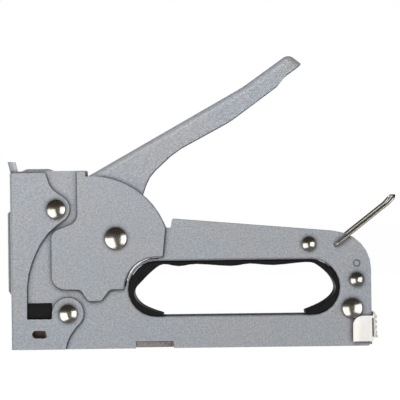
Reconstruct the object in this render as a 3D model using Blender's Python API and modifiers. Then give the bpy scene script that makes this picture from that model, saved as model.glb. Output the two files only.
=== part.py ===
"""Hand staple gun, built from its separate pieces.

Metres, +Z up. X runs from the nose to the rear, Y across the tool, Z upwards.
The origin is on the ground, in the middle of the front wall's thickness.
"""
import math

import bmesh
import bpy
from mathutils import Matrix, Vector

# ---------------------------------------------------------------- fits
GAP = 0.0003                    # between touching pieces that do not move
RUN = 0.0004                    # between pieces that move past each other

# ---------------------------------------------------------------- body
SHELL_SHEET = 0.0012
BASE_HALF = 0.0100              # outer half width of the body
PANEL_HALF = BASE_HALF + 0.0018 # outer half width of the raised mechanism panel
SEAM_HALF = 0.00015             # half of the seam between the two shells
NOSE_TOP_Z = 0.0894
NOSE_STEP_X = 0.0373            # where the nose ends above the lever
REAR_X = 0.1798
REAR_FOOT_X = REAR_X - 0.0012
REAR_FOOT_Z = 0.0140
REAR_RADIUS = 0.0190
REAR_OPEN_Z = 0.0165            # below this the rear is open for the pusher
BAR_FRONT_X = 0.0803            # grip bar, front end of its top
BAR_FRONT_Z = 0.0647
BAR_SLOPE = math.tan(math.radians(5.0))
RIM_RADIUS = 0.0020
PANEL_RIM = 0.0010

ARC_CENTRE = (0.0396, 0.0471)   # edge that clears the swinging lever
ARC_RADIUS = 0.0396
NOTCH_Z = 0.0600

# ---------------------------------------------------------------- finger opening
OPENING_RADIUS = 0.0139
OPENING_Z = 0.0297
OPENING_FRONT_X = 0.0719        # centre of the front end
OPENING_REAR_X = REAR_X - 0.0296  # centre of the rear end

# ---------------------------------------------------------------- front bracket
BRACKET_SHEET = 0.0012
WALL_SHEET = 0.0015
BRACKET_TOP_Z = 0.0885
BRACKET_WAIST_X = 0.0073        # rear edge of the narrow part
BRACKET_FOOT_X = 0.0263
UPPER_LOBE = 0.0068
LOWER_LOBE = 0.0078
BULGE_DEPTH = 0.0015
BULGE_HALF = 0.0070
BULGE_Z = (0.0256, 0.0294, 0.0683, 0.0705)
TONGUE_HALF = 0.0060
TONGUE_SAG = 0.0022
TONGUE_TOP_Z = 0.0943
TONGUE_LEAN = 0.24              # metres forward for each metre up

# ---------------------------------------------------------------- bumper and its window
WINDOW_X = (0.0073, 0.0198)
WINDOW_Z = (0.0152, 0.0233)

# ---------------------------------------------------------------- staple sight slot
SIGHT_X = (0.0097, 0.0173)
SIGHT_Z = (0.0056, 0.0095)

# ---------------------------------------------------------------- rivets: x, z, head radius
PIVOT = (0.05215, 0.0555)
FRONT_UPPER = (0.0224, 0.0704)
FRONT_LOWER = (0.0278, 0.0181)
GRIP_REAR = (REAR_X - 0.0311, 0.0516)
REAR_MIDDLE = (REAR_X - 0.0073, 0.0335)
REAR_LOWER = (REAR_X - 0.0097, 0.0191)
PIVOT_HEAD = 0.0055
FRONT_UPPER_HEAD = 0.00475
FRONT_LOWER_HEAD = 0.0045
SMALL_HEAD = 0.0035
REAR_LOWER_HEAD = 0.0050
DOME_HEIGHT = 0.0024
PIVOT_SHANK = 0.0025
SHANK = 0.0017
SLEEVE_WALL = 0.0009

# ---------------------------------------------------------------- lever
LEVER_SHEET = 0.0015
LEVER_SHOULDER = 0.0038
HUB_RADIUS = 0.0079
LEVER_HEEL = (0.0387, 0.0868)   # front end of the lever's top
LEVER_KNEE = (0.1165, 0.1304)   # where the top bends up to the tip
LEVER_TIP = (0.1398, 0.1469)
LEVER_NOSE = (0.1462, 0.1418)
LEVER_TIP_RADIUS = 0.0042
BUSH_RADIUS = 0.0045
CLAW_HALF = 0.0030
CLAW_PIN = (0.0570, 0.0685)
CLAW_PIN_RADIUS = 0.0020
CLAW_NOSE = (0.02575, 0.0425)
CLAW_NOSE_RADIUS = 0.0020

# ---------------------------------------------------------------- plunger and striker
PLUNGER_HALF = 0.0075
PLUNGER_FLOOR_Z = 0.0236
PLUNGER_TABLE_Z = 0.0310
PLUNGER_PLATE_X = (0.01815, 0.02035)
PLUNGER_PLATE_TOP_Z = 0.0490
PLUNGER_LEDGE_X = 0.02645
PLUNGER_POST = 0.0034
PLUNGER_POST_TOP_Z = 0.0660
STRIKER_SHEET = 0.0012
STRIKER_HALF = 0.0058
STRIKER_FOOT_Z = 0.0006
STRIKER_PIN_RADIUS = 0.0012
STRIKER_PIN_Y = 0.0035

# ---------------------------------------------------------------- springs
MAIN_SPRING_RADIUS = 0.0058
MAIN_SPRING_WIRE = 0.0012
MAIN_SPRING_TURNS = 9
RETURN_SPRING_RADIUS = 0.0065
RETURN_SPRING_WIRE = 0.0006
PUSHER_SPRING_RADIUS = 0.0026
PUSHER_SPRING_WIRE = 0.0003
PUSHER_SPRING_TURNS = 18

# ---------------------------------------------------------------- spring cap
CAP_X = (0.0042, 0.0216)
CAP_HALF = 0.0064
CAP_TOP_Z = 0.0906
CAP_BRIM = 0.0011

# ---------------------------------------------------------------- magazine
CHANNEL_HALF = 0.0072
CHANNEL_SHEET = 0.0009
CHANNEL_TOP_Z = 0.0150
CHANNEL_FOOT_Z = 0.0003
CHANNEL_REAR_X = REAR_X - 0.0045
TAB_X = (0.0618, 0.0792)
TAB_Z = (0.0007, 0.0032)
TAB_HALF = BASE_HALF - 0.0003
FOLLOWER_X = (0.0036, 0.0156)
FOLLOWER_SHEET = 0.0008
FOLLOWER_FOOT_Z = 0.0030
FOLLOWER_TRAVEL = 0.0900
RAIL_SHEET = 0.0008
RAIL_REAR_X = REAR_X + 0.0006
ROD_RADIUS = 0.0012
ROD_Z = 0.0080

# ---------------------------------------------------------------- pusher latch
LATCH_SHEET = 0.0009
LATCH_WING_X = REAR_X - 0.0095
LATCH_WING_Z = (0.0023, 0.0151)
LATCH_BACK_Z = (0.0038, 0.0164)
LATCH_FLARE = 0.0010
LATCH_CORNER = 0.0050
LATCH_SLIT = 0.0008             # slit that lets each wing bend away from the back
LATCH_RIB = 0.0009              # height of the thumb ribs on the back

# ---------------------------------------------------------------- lock bail
BAIL_HOLE = (REAR_X - 0.0176, 0.0507)
BAIL_WIRE = 0.0008
BAIL_LENGTH = 0.0403
BAIL_ANGLE = math.radians(39.0)

# ---------------------------------------------------------------- grip liner
LINER_HALF = BASE_HALF - 0.0009
LINER_END_X = (OPENING_FRONT_X + 0.0037, OPENING_REAR_X - 0.0033)  # ends of its open lower side

# ---------------------------------------------------------------- fitted values
SHELL_INNER = BASE_HALF - SHELL_SHEET
PANEL_INNER = PANEL_HALF - SHELL_SHEET
LEVER_HALF = PANEL_INNER - RUN
BRACKET_INNER = BASE_HALF + GAP
BRACKET_HALF = BRACKET_INNER + BRACKET_SHEET
WALL_INNER_X = WALL_SHEET / 2
WALL_OUTER_X = -WALL_SHEET / 2
SHELL_FRONT_X = WALL_INNER_X + GAP
STRIKER_X = WALL_INNER_X + RUN
PLUNGER_X = STRIKER_X + STRIKER_SHEET + GAP
CHANNEL_X = STRIKER_X + STRIKER_SHEET + RUN
CHANNEL_INNER = CHANNEL_HALF - CHANNEL_SHEET
CHANNEL_ROOF_Z = CHANNEL_TOP_Z - CHANNEL_SHEET
FOLLOWER_HALF = CHANNEL_INNER - GAP
FOLLOWER_INNER = FOLLOWER_HALF - FOLLOWER_SHEET
FOLLOWER_TOP_Z = CHANNEL_ROOF_Z - GAP
RAIL_HALF = FOLLOWER_INNER - GAP
RAIL_TOP_Z = FOLLOWER_TOP_Z - FOLLOWER_SHEET - GAP
RAIL_SLOT_HALF = 0.0014
NOSE_INNER_Z = NOSE_TOP_Z - SHELL_SHEET
RING_RADIUS = OPENING_RADIUS + SHELL_SHEET
MAIN_SPRING_X = (PLUNGER_X + PLUNGER_PLATE_X[0]) / 2
MAIN_SPRING_TOP_Z = NOSE_INNER_Z - GAP - SHELL_SHEET - GAP
LATCH_INNER = BASE_HALF + 0.0005
LATCH_BACK_X = RAIL_REAR_X + RUN
BAIL_HALF = BASE_HALF + 0.0014  # wire centre, clear of the lever's sides

FAR = 0.020                     # how far a cutter runs past what it cuts

BODY = bpy.data.collections.new("staple_gun")
CUTTERS = bpy.data.collections.new("cutters")


# ================================================================ helpers
def start_scene():
    for obj in list(bpy.data.objects):
        bpy.data.objects.remove(obj, do_unlink=True)
    for group in (BODY, CUTTERS):
        bpy.context.scene.collection.children.link(group)


def finish(name, colour, roughness, metallic):
    """A plain surface finish."""
    material = bpy.data.materials.new(name)
    material.use_nodes = True
    shader = material.node_tree.nodes["Principled BSDF"]
    shader.inputs["Base Color"].default_value = (*colour, 1.0)
    shader.inputs["Roughness"].default_value = roughness
    shader.inputs["Metallic"].default_value = metallic
    return material


def baked(obj):
    """Give the object its evaluated mesh, with its place in the mesh."""
    bpy.context.view_layer.update()
    graph = bpy.context.evaluated_depsgraph_get()
    mesh = bpy.data.meshes.new_from_object(obj.evaluated_get(graph))
    mesh.transform(obj.matrix_world)
    result = bpy.data.objects.new(obj.name, mesh)
    name = obj.name
    BODY.objects.link(result)
    bpy.data.objects.remove(obj, do_unlink=True)
    result.name = name
    work = bmesh.new()
    work.from_mesh(mesh)
    bmesh.ops.remove_doubles(work, verts=work.verts, dist=2e-6)
    bmesh.ops.dissolve_limit(work, angle_limit=0.002, verts=work.verts, edges=work.edges)
    bmesh.ops.recalc_face_normals(work, faces=work.faces)
    work.to_mesh(mesh)
    work.free()
    return result


def arc(centre, radius, start, end, steps):
    """Points on a circle, as outline corners with no radius of their own."""
    points = []
    for i in range(steps + 1):
        angle = math.radians(start + (end - start) * i / steps)
        points.append((centre[0] + radius * math.cos(angle),
                       centre[1] + radius * math.sin(angle), 0.0))
    return points


def fillet(before, corner, after, radius, per_turn=24):
    """The points that round one corner."""
    to_before = (Vector(before[:2]) - Vector(corner[:2])).normalized()
    to_after = (Vector(after[:2]) - Vector(corner[:2])).normalized()
    inside = math.acos(max(-1.0, min(1.0, to_before.dot(to_after))))
    turn = math.pi - inside
    if turn < 1e-3:
        return [Vector(corner[:2])]
    reach = radius / math.tan(inside / 2)
    middle = (to_before + to_after).normalized() * (radius / math.sin(inside / 2))
    centre = Vector(corner[:2]) + middle
    first = Vector(corner[:2]) + to_before * reach - centre
    last = Vector(corner[:2]) + to_after * reach - centre
    start = math.atan2(first.y, first.x)
    sweep = math.atan2(first.x * last.y - first.y * last.x, first.dot(last))
    steps = max(1, round(per_turn * turn / (2 * math.pi)))
    return [centre + radius * Vector((math.cos(start + sweep * i / steps),
                                      math.sin(start + sweep * i / steps)))
            for i in range(steps + 1)]


def rounded(corners, closed=True):
    """Turn corners (x, z, radius) into a list of points."""
    points = []
    count = len(corners)
    for i, corner in enumerate(corners):
        radius = corner[2] if len(corner) > 2 else 0.0
        inner = closed or 0 < i < count - 1
        if radius > 0 and inner:
            points += fillet(corners[i - 1], corner, corners[(i + 1) % count], radius)
        else:
            points.append(Vector(corner[:2]))
    return points


def inset(corners, distances):
    """Move each edge of an open, counter-clockwise chain of corners to its left."""
    lines = []
    for (a, b, distance) in zip(corners, corners[1:], distances):
        along = (Vector(b[:2]) - Vector(a[:2])).normalized()
        left = Vector((-along.y, along.x)) * distance
        lines.append((Vector(a[:2]) + left, along, Vector(b[:2]) + left))
    moved = [(*lines[0][0], 0.0)]
    for i in range(1, len(lines)):
        (p, u, _), (q, v, _) = lines[i - 1], lines[i]
        cross = u.x * v.y - u.y * v.x
        offset = q - p
        point = p + u * ((offset.x * v.y - offset.y * v.x) / cross)
        turn = math.copysign(1.0, cross)
        radius = corners[i][2] - turn * distances[i]
        moved.append((point.x, point.y, max(radius, 0.0) if corners[i][2] else 0.0))
    moved.append((*lines[-1][2], 0.0))
    return moved


def stadium(radius, steps=12):
    """Outline parallel to the finger opening."""
    front = arc((OPENING_FRONT_X, OPENING_Z), radius, 90, 270, steps)
    rear = arc((OPENING_REAR_X, OPENING_Z), radius, -90, 90, steps)
    return [Vector(p[:2]) for p in front + rear]


PLANES = {
    "XZ": Matrix.Rotation(math.radians(90), 4, "X"),
    "XY": Matrix.Identity(4),
    "YZ": Matrix(((0, 0, 1, 0), (1, 0, 0, 0), (0, 1, 0, 0), (0, 0, 0, 1))),
}


def prism(name, outlines, low, high, plane="XZ"):
    """Fill flat outlines in a plane and extrude them from low to high across it."""
    curve = bpy.data.curves.new(name, "CURVE")
    curve.dimensions = "2D"
    curve.fill_mode = "BOTH"
    curve.extrude = (high - low) / 2
    for outline in outlines:
        spline = curve.splines.new("POLY")
        spline.points.add(len(outline) - 1)
        for point, place in zip(spline.points, outline):
            point.co = (place[0], place[1], 0.0, 1.0)
        spline.use_cyclic_u = True
    obj = bpy.data.objects.new(name, curve)
    BODY.objects.link(obj)
    middle = (low + high) / 2
    shift = {"XZ": (0, middle, 0), "XY": (0, 0, middle), "YZ": (middle, 0, 0)}[plane]
    obj.matrix_world = Matrix.Translation(shift) @ PLANES[plane]
    return baked(obj)


def box(name, x, y, z):
    """A block between two limits on each axis."""
    bpy.ops.mesh.primitive_cube_add(size=1.0)
    obj = bpy.context.object
    obj.name = name
    obj.matrix_world = (Matrix.Translation([(a + b) / 2 for a, b in (x, y, z)])
                        @ Matrix.Diagonal([b - a for a, b in (x, y, z)] + [1.0]))
    return adopt(obj)


def rod(name, radius, start, end, steps=24):
    """A round bar from start to end."""
    start, end = Vector(start), Vector(end)
    bpy.ops.mesh.primitive_cylinder_add(vertices=steps, radius=radius, depth=(end - start).length)
    obj = bpy.context.object
    obj.name = name
    turn = (end - start).to_track_quat("Z", "Y").to_matrix().to_4x4()
    obj.matrix_world = Matrix.Translation((start + end) / 2) @ turn
    return adopt(obj)


def adopt(obj):
    """Put a new primitive's place in its mesh and file it with the pieces."""
    obj.data.transform(obj.matrix_world)
    obj.matrix_world = Matrix.Identity(4)
    for group in list(obj.users_collection):
        group.objects.unlink(obj)
    BODY.objects.link(obj)
    return obj


def turned(name, profile, centre, steps=24):
    """Turn a profile of (radius, y) about an axis across the tool, through (x, z)."""
    mesh = bpy.data.meshes.new(name)
    mesh.from_pydata([(r, 0.0, y) for r, y in profile],
                     [(i, i + 1) for i in range(len(profile) - 1)], [])
    obj = bpy.data.objects.new(name, mesh)
    BODY.objects.link(obj)
    screw = obj.modifiers.new("turn", "SCREW")
    screw.axis = "Z"
    screw.steps = screw.render_steps = steps
    screw.use_merge_vertices = True
    screw.merge_threshold = 1e-5
    screw.use_normal_calculate = True
    obj.matrix_world = (Matrix.Translation((centre[0], 0.0, centre[1]))
                        @ Matrix.Rotation(math.radians(-90), 4, "X"))
    return baked(obj)


def wire(name, points, radius, sides=2):
    """A round wire through a list of points."""
    curve = bpy.data.curves.new(name, "CURVE")
    curve.dimensions = "3D"
    curve.bevel_depth = radius
    curve.bevel_resolution = sides
    curve.use_fill_caps = True
    spline = curve.splines.new("POLY")
    spline.points.add(len(points) - 1)
    for point, place in zip(spline.points, points):
        point.co = (*place, 1.0)
    obj = bpy.data.objects.new(name, curve)
    BODY.objects.link(obj)
    return baked(obj)


def boolean(obj, tool, operation):
    """Cut with, or join, another solid, which becomes a guide."""
    modifier = obj.modifiers.new(tool.name, "BOOLEAN")
    modifier.operation = operation
    modifier.solver = "EXACT"
    modifier.object = tool
    tool.name = obj.name + "_" + tool.name
    tool.hide_render = True
    tool.display_type = "WIRE"
    for group in list(tool.users_collection):
        group.objects.unlink(tool)
    CUTTERS.objects.link(tool)
    return obj


def cut(obj, *tools):
    for tool in tools:
        boolean(obj, tool, "DIFFERENCE")
    return obj


def join(obj, *tools):
    for tool in tools:
        boolean(obj, tool, "UNION")
    return obj


def soften(obj, width, picks, segments=2):
    """Round the edges whose two ends both satisfy picks."""
    mesh = obj.data
    weights = mesh.attributes.get("bevel_weight_edge")
    if weights is None:
        weights = mesh.attributes.new("bevel_weight_edge", "FLOAT", "EDGE")
    for edge in mesh.edges:
        ends = [mesh.vertices[i].co for i in edge.vertices]
        weights.data[edge.index].value = 1.0 if picks(*ends) else 0.0
    modifier = obj.modifiers.new("soften", "BEVEL")
    modifier.limit_method = "WEIGHT"
    modifier.width = width
    modifier.segments = segments
    modifier.use_clamp_overlap = True
    return obj


def level(value, target):
    return abs(value - target) < 1e-6


def mirrored(obj, name):
    """The same piece on the other side of the middle plane."""
    graph = bpy.context.evaluated_depsgraph_get()
    mesh = bpy.data.meshes.new_from_object(obj.evaluated_get(graph))
    mesh.transform(Matrix.Scale(-1.0, 4, (0.0, 1.0, 0.0)))
    mesh.flip_normals()
    copy = bpy.data.objects.new(name, mesh)
    BODY.objects.link(copy)
    return copy


def axis_empty(name, place):
    """Marks a joint, and carries what turns or slides on it."""
    empty = bpy.data.objects.new(name, None)
    empty.empty_display_size = 0.01
    empty.location = place
    BODY.objects.link(empty)
    return empty


def carry(empty, *pieces):
    bpy.context.view_layer.update()
    for piece in pieces:
        piece.parent = empty
        piece.matrix_parent_inverse = empty.matrix_world.inverted()


def give(material, *pieces):
    for piece in pieces:
        piece.data.materials.clear()
        piece.data.materials.append(material)
        piece.data.shade_smooth()
        piece.data.set_sharp_from_angle(angle=math.radians(35))


# ================================================================ shells
def bar_top(x, depth=0.0):
    """Height of the grip bar's top at x, less a depth measured square to it."""
    drop = depth * math.sqrt(1 + BAR_SLOPE ** 2)
    return BAR_FRONT_Z - drop - (x - BAR_FRONT_X) * BAR_SLOPE


def lever_arc(radius, steps=12):
    """The edge that clears the lever, from the notch up to the nose."""
    low = math.degrees(math.asin((NOTCH_Z + 0.0006 - ARC_CENTRE[1]) / radius))
    high = math.degrees(math.acos((NOSE_STEP_X - ARC_CENTRE[0]) / radius))
    return arc(ARC_CENTRE, radius, low, high, steps)


def panel_front():
    """Front and lower boundary of the raised panel, top to rear."""
    return [(0.0330, NOSE_TOP_Z - GAP, 0), (0.0331, 0.0637, 0.006), (0.0199, 0.0587, 0.005),
            (0.0199, 0.0302, 0.0065), (0.0342, 0.0299, 0.003), (0.0379, 0.0241, 0.002),
            (0.0443, 0.0241, 0.002), (0.0490, 0.0299, 0.003), (0.0640, 0.0299, 0)]


def shell_blank():
    """Outer form of one shell before it is hollowed."""
    arc_points = lever_arc(ARC_RADIUS)
    body = [(SHELL_FRONT_X, 0.0, 0), (REAR_FOOT_X, 0.0, 0.0008), (REAR_X, REAR_FOOT_Z, 0.003),
            (REAR_X, bar_top(REAR_X), REAR_RADIUS), (BAR_FRONT_X, BAR_FRONT_Z, 0.0008),
            (BAR_FRONT_X - 0.0008, NOTCH_Z, 0.0010), (arc_points[0][0] + 0.0004, NOTCH_Z, 0)]
    body += arc_points + [(NOSE_STEP_X, NOSE_TOP_Z, 0), (SHELL_FRONT_X, NOSE_TOP_Z, 0)]
    blank = prism("shell", [rounded(body)], SEAM_HALF, BASE_HALF)

    def on_rim(a, b):
        middle = (a + b) / 2
        high = middle.z > NOSE_TOP_Z - 1e-5
        rear = middle.x > BAR_FRONT_X and middle.z > REAR_OPEN_Z
        return level(a.y, BASE_HALF) and level(b.y, BASE_HALF) and (high or rear)

    soften(blank, RIM_RADIUS, on_rim, 3)

    inner_arc = lever_arc(ARC_RADIUS - 0.00015)
    panel = panel_front() + [(0.0750, 0.0410, 0), (0.07690, NOTCH_Z + 0.0003, 0)]
    panel += inner_arc + [(NOSE_STEP_X - 0.00015, NOSE_TOP_Z - GAP, 0)]
    raised = prism("panel", [rounded(panel)], SHELL_INNER, PANEL_HALF)

    def on_panel_rim(a, b):
        middle = (a + b) / 2
        from_arc = math.hypot(middle.x - ARC_CENTRE[0], middle.z - ARC_CENTRE[1])
        plain = from_arc < ARC_RADIUS - 0.0008 or middle.z > NOSE_TOP_Z - 0.001
        return level(a.y, PANEL_HALF) and level(b.y, PANEL_HALF) and plain

    soften(raised, PANEL_RIM, on_panel_rim)
    return join(blank, raised)


def opening_cutter():
    """Finger opening with a rolled edge, a stack of parallel outlines."""
    rings = ((-FAR, 0.0), (BASE_HALF - 0.0013, 0.0), (BASE_HALF - 0.0009, 0.0001),
             (BASE_HALF - 0.0004, 0.0005), (BASE_HALF - 0.0001, 0.0010), (BASE_HALF, 0.0015),
             (PANEL_HALF, 0.0026), (PANEL_HALF + FAR, 0.0206))
    work = bmesh.new()
    loops = []
    for y, grow in rings:
        ring = stadium(OPENING_RADIUS + grow)
        verts = [work.verts.new((p.x, y, p.y)) for p in ring]
        loops.append([work.edges.new((a, b)) for a, b in zip(verts, verts[1:] + verts[:1])])
    for first, second in zip(loops, loops[1:]):
        bmesh.ops.bridge_loops(work, edges=first + second)
    for loop in (loops[0], loops[-1]):
        bmesh.ops.contextual_create(work, geom=loop)
    bmesh.ops.recalc_face_normals(work, faces=work.faces)
    mesh = bpy.data.meshes.new("opening")
    work.to_mesh(mesh)
    work.free()
    obj = bpy.data.objects.new("opening", mesh)
    BODY.objects.link(obj)
    return obj


def shell_hollow():
    """The space inside the body, around the finger opening's wall."""
    lip = NOSE_STEP_X - SHELL_SHEET
    beyond = REAR_X + FAR
    notch_air = BAR_FRONT_X - 0.0012
    outline = [(-FAR, -FAR, 0), (beyond, -FAR, 0), (beyond, REAR_OPEN_Z, 0),
               (REAR_X - SHELL_SHEET, REAR_OPEN_Z, 0),
               (REAR_X - SHELL_SHEET, bar_top(REAR_X - SHELL_SHEET, SHELL_SHEET),
                REAR_RADIUS - SHELL_SHEET),
               (notch_air, bar_top(notch_air, SHELL_SHEET), 0),
               (notch_air, NOSE_TOP_Z + FAR, 0), (NOSE_STEP_X + 0.0002, NOSE_TOP_Z + FAR, 0),
               (NOSE_STEP_X + 0.0002, 0.0850, 0), (lip, 0.0850, 0), (lip, NOSE_INNER_Z, 0),
               (-FAR, NOSE_INNER_Z, 0)]
    return prism("hollow", [rounded(outline), stadium(RING_RADIUS)], -0.002, SHELL_INNER)


def panel_hollow():
    """The space behind the raised panel, where the lever's sides swing."""
    front = inset(panel_front(), [SHELL_SHEET] * 8)
    reach = OPENING_Z + RING_RADIUS
    ring = arc((OPENING_FRONT_X, OPENING_Z), RING_RADIUS, 175, 84, 5)
    lip = NOSE_STEP_X - SHELL_SHEET
    air = NOSE_STEP_X + 0.0002
    right = 0.0769 - SHELL_SHEET
    outline = [(front[0][0], NOSE_INNER_Z - 0.0004, 0)] + front[1:-1] + ring
    outline += [(right, reach + 0.0156, 0), (right, NOSE_TOP_Z + FAR, 0),
                (air, NOSE_TOP_Z + FAR, 0), (air, 0.0850, 0), (lip, 0.0850, 0),
                (lip, NOSE_INNER_Z - 0.0004, 0)]
    return prism("panel_hollow", [rounded(outline)], SHELL_INNER - 0.001, PANEL_INNER)


def hole(name, place, radius):
    """Cutter for a round hole across the tool."""
    return rod(name, radius, (place[0], -FAR, place[1]), (place[0], FAR, place[1]))


def sight_slot():
    """Cutter for the small slot that shows how many staples are left."""
    half = (SIGHT_Z[1] - SIGHT_Z[0]) / 2
    corners = [(SIGHT_X[0], SIGHT_Z[0], half * 0.98), (SIGHT_X[1], SIGHT_Z[0], half * 0.98),
               (SIGHT_X[1], SIGHT_Z[1], half * 0.98), (SIGHT_X[0], SIGHT_Z[1], half * 0.98)]
    return prism("sight_slot", [rounded(corners)], -FAR, FAR)


def make_shells():
    shell = shell_blank()
    shell.name = "right_shell"
    cut(shell, opening_cutter(), shell_hollow(), panel_hollow())
    side = (SEAM_HALF - 0.001, CHANNEL_HALF + RUN)
    cut(shell, box("ring_foot", (OPENING_FRONT_X - 0.012, OPENING_REAR_X + 0.012), side,
                   (OPENING_Z - RING_RADIUS - 0.002, CHANNEL_TOP_Z + 0.0012)))
    cut(shell, box("cap_window", (CAP_X[0] - GAP, CAP_X[1] + GAP), (-0.001, CAP_HALF + GAP),
                   (NOSE_INNER_Z - 0.001, NOSE_TOP_Z + 0.001)))
    cut(shell, box("tongue_window", (SHELL_FRONT_X - 0.001, CAP_X[0]), (-0.001, TONGUE_HALF + 0.0012),
                   (NOSE_INNER_Z - 0.001, NOSE_TOP_Z + 0.001)))
    cut(shell, box("bumper_window", WINDOW_X, (0.005, FAR), WINDOW_Z), sight_slot())
    cut(shell, box("tab_notch", (TAB_X[0] - GAP, TAB_X[1] + 0.0014), (0.005, FAR),
                   (-0.001, TAB_Z[1] + GAP)))
    cut(shell, hole("pivot_hole", PIVOT, PIVOT_SHANK + GAP))
    for name, place in (("front_upper", FRONT_UPPER), ("front_lower", FRONT_LOWER),
                        ("grip_rear", GRIP_REAR), ("rear_middle", REAR_MIDDLE),
                        ("rear_lower", REAR_LOWER)):
        cut(shell, hole(name + "_hole", place, SHANK + GAP))
    cut(shell, hole("bail_hole", BAIL_HOLE, BAIL_WIRE + GAP))
    shell = baked(shell)
    return mirrored(shell, "left_shell"), shell


# ================================================================ front bracket and spring cap
def make_bracket():
    lower = arc(FRONT_LOWER, LOWER_LOBE, -58, 162, 12)
    upper = arc(FRONT_UPPER, UPPER_LOBE, -62, 55, 8)
    outline = [(WALL_OUTER_X, 0.0, 0), (BRACKET_FOOT_X, 0.0, 0), (0.0277, 0.0056, 0.009)]
    outline += lower
    outline += [(WINDOW_X[1], 0.0190, 0), (WINDOW_X[1], WINDOW_Z[0], 0.0008),
                (WINDOW_X[0], WINDOW_Z[0], 0), (BRACKET_WAIST_X, 0.0345, 0.025),
                (0.0112, 0.0480, 0.030), (0.0180, 0.0590, 0.030)]
    outline += upper
    outline += [(0.0196, 0.0806, 0.009), (0.0171, BRACKET_TOP_Z, 0),
                (WALL_OUTER_X, BRACKET_TOP_Z, 0)]
    bracket = prism("front_bracket", [rounded(outline)], -BRACKET_HALF, BRACKET_HALF)

    def on_corner(a, b):
        return level(a.x, WALL_OUTER_X) and level(b.x, WALL_OUTER_X) and level(a.y, b.y)

    soften(bracket, 0.0020, on_corner, 4)
    side = [(WALL_OUTER_X - BULGE_DEPTH, BULGE_Z[1]), (0.0, BULGE_Z[0]), (0.0, BULGE_Z[3]),
            (WALL_OUTER_X - BULGE_DEPTH, BULGE_Z[2])]
    bulge = prism("bulge", [side], -BULGE_HALF, BULGE_HALF)
    hollow = [(x + WALL_SHEET, z) for x, z in side]
    tongue = make_tongue()
    root = box("tongue_root", (WALL_OUTER_X + 0.0001, TONGUE_SAG), (-TONGUE_HALF, TONGUE_HALF),
               (BRACKET_TOP_Z - 0.0017, BRACKET_TOP_Z + 0.0004))
    space = box("space", (WALL_INNER_X, FAR * 3), (-BRACKET_INNER, BRACKET_INNER),
                (-FAR, BRACKET_TOP_Z - 0.0020))
    gap = box("top_gap", (TONGUE_SAG, FAR * 3), (-BRACKET_INNER, BRACKET_INNER),
              (BRACKET_TOP_Z - 0.0025, BRACKET_TOP_Z + FAR))
    slots = [box("top_side_gap", (WALL_INNER_X, FAR), sorted((s * TONGUE_HALF, s * BRACKET_INNER)),
                 (BRACKET_TOP_Z - 0.0025, BRACKET_TOP_Z + FAR)) for s in (-1, 1)]
    cut(bracket, space, gap, *slots)
    join(bracket, bulge, root, tongue)
    cut(bracket, prism("bulge_hollow", [hollow], -BULGE_HALF + WALL_SHEET, BULGE_HALF - WALL_SHEET))
    cut(bracket, hole("upper_hole", FRONT_UPPER, SHANK + GAP),
        hole("lower_hole", FRONT_LOWER, SHANK + GAP), sight_slot())
    return baked(bracket)


def make_tongue():
    """Curved lug on top of the front wall, leaning forward."""
    radius = (TONGUE_HALF ** 2 + TONGUE_SAG ** 2) / (2 * TONGUE_SAG)
    half_turn = math.degrees(math.asin(TONGUE_HALF / radius))
    centre = (WALL_OUTER_X + TONGUE_SAG - radius, 0.0)
    outer = arc(centre, radius + WALL_SHEET * 0.8, -half_turn, half_turn, 8)
    inner = arc(centre, radius, half_turn, -half_turn, 8)
    tongue = prism("tongue", [rounded(outer + inner)], BRACKET_TOP_Z - 0.0008, TONGUE_TOP_Z, "XY")
    shear = Matrix.Identity(4)
    shear[0][2] = -TONGUE_LEAN
    shear[0][3] = TONGUE_LEAN * BRACKET_TOP_Z
    tongue.data.transform(shear)
    return tongue


def make_cap():
    low, high = CAP_X
    crown_foot = NOSE_INNER_Z - GAP - SHELL_SHEET
    crown = [(low, crown_foot), (high, crown_foot), (high, NOSE_TOP_Z - 0.0002),
             (high - 0.0035, CAP_TOP_Z), (low + 0.0032, CAP_TOP_Z), (low, NOSE_TOP_Z - 0.0002)]
    cap = prism("spring_cap", [crown], -CAP_HALF, CAP_HALF)

    def on_top_side(a, b):
        return level(a.y, b.y) and abs(a.y) > CAP_HALF - 1e-5 and min(a.z, b.z) > NOSE_TOP_Z - 0.001

    soften(cap, 0.0009, on_top_side)
    brim = box("brim", (low - CAP_BRIM, high + CAP_BRIM),
               (-CAP_HALF - CAP_BRIM, CAP_HALF + CAP_BRIM), (crown_foot, NOSE_INNER_Z - GAP))
    inside = box("inside", (low + SHELL_SHEET, high - SHELL_SHEET),
                 (-CAP_HALF + SHELL_SHEET, CAP_HALF - SHELL_SHEET),
                 (crown_foot - 0.001, NOSE_TOP_Z - 0.0006))
    cut(join(cap, brim), inside)
    return baked(cap)


# ================================================================ rivets and sleeves
def dome(radius, face):
    """Profile of a domed head from its rim on a face to its crown, as (radius, y)."""
    ball = (radius ** 2 + DOME_HEIGHT ** 2) / (2 * DOME_HEIGHT)
    half_turn = math.asin(min(1.0, radius / ball))
    steps = 3
    return [(ball * math.sin(half_turn * i / steps),
             face + DOME_HEIGHT - ball + ball * math.cos(half_turn * i / steps))
            for i in range(steps, -1, -1)]


def make_rivet(name, place, head, shank, face):
    """A rivet through the whole tool, domed at both ends."""
    top = dome(head, face)
    crown = [(r, y) for r, y in reversed(top)]
    crown[0] = (0.0, crown[0][1])
    half = crown + [(shank, face)]
    profile = half + [(r, -y) for r, y in reversed(half)]
    return turned(name, profile, place, 20)


def make_sleeve(name, place, inner, outer, half):
    sleeve = rod(name, outer, (place[0], -half, place[1]), (place[0], half, place[1]), 16)
    cut(sleeve, rod("bore", inner, (place[0], -FAR, place[1]), (place[0], FAR, place[1]), 16))
    return baked(sleeve)


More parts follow.
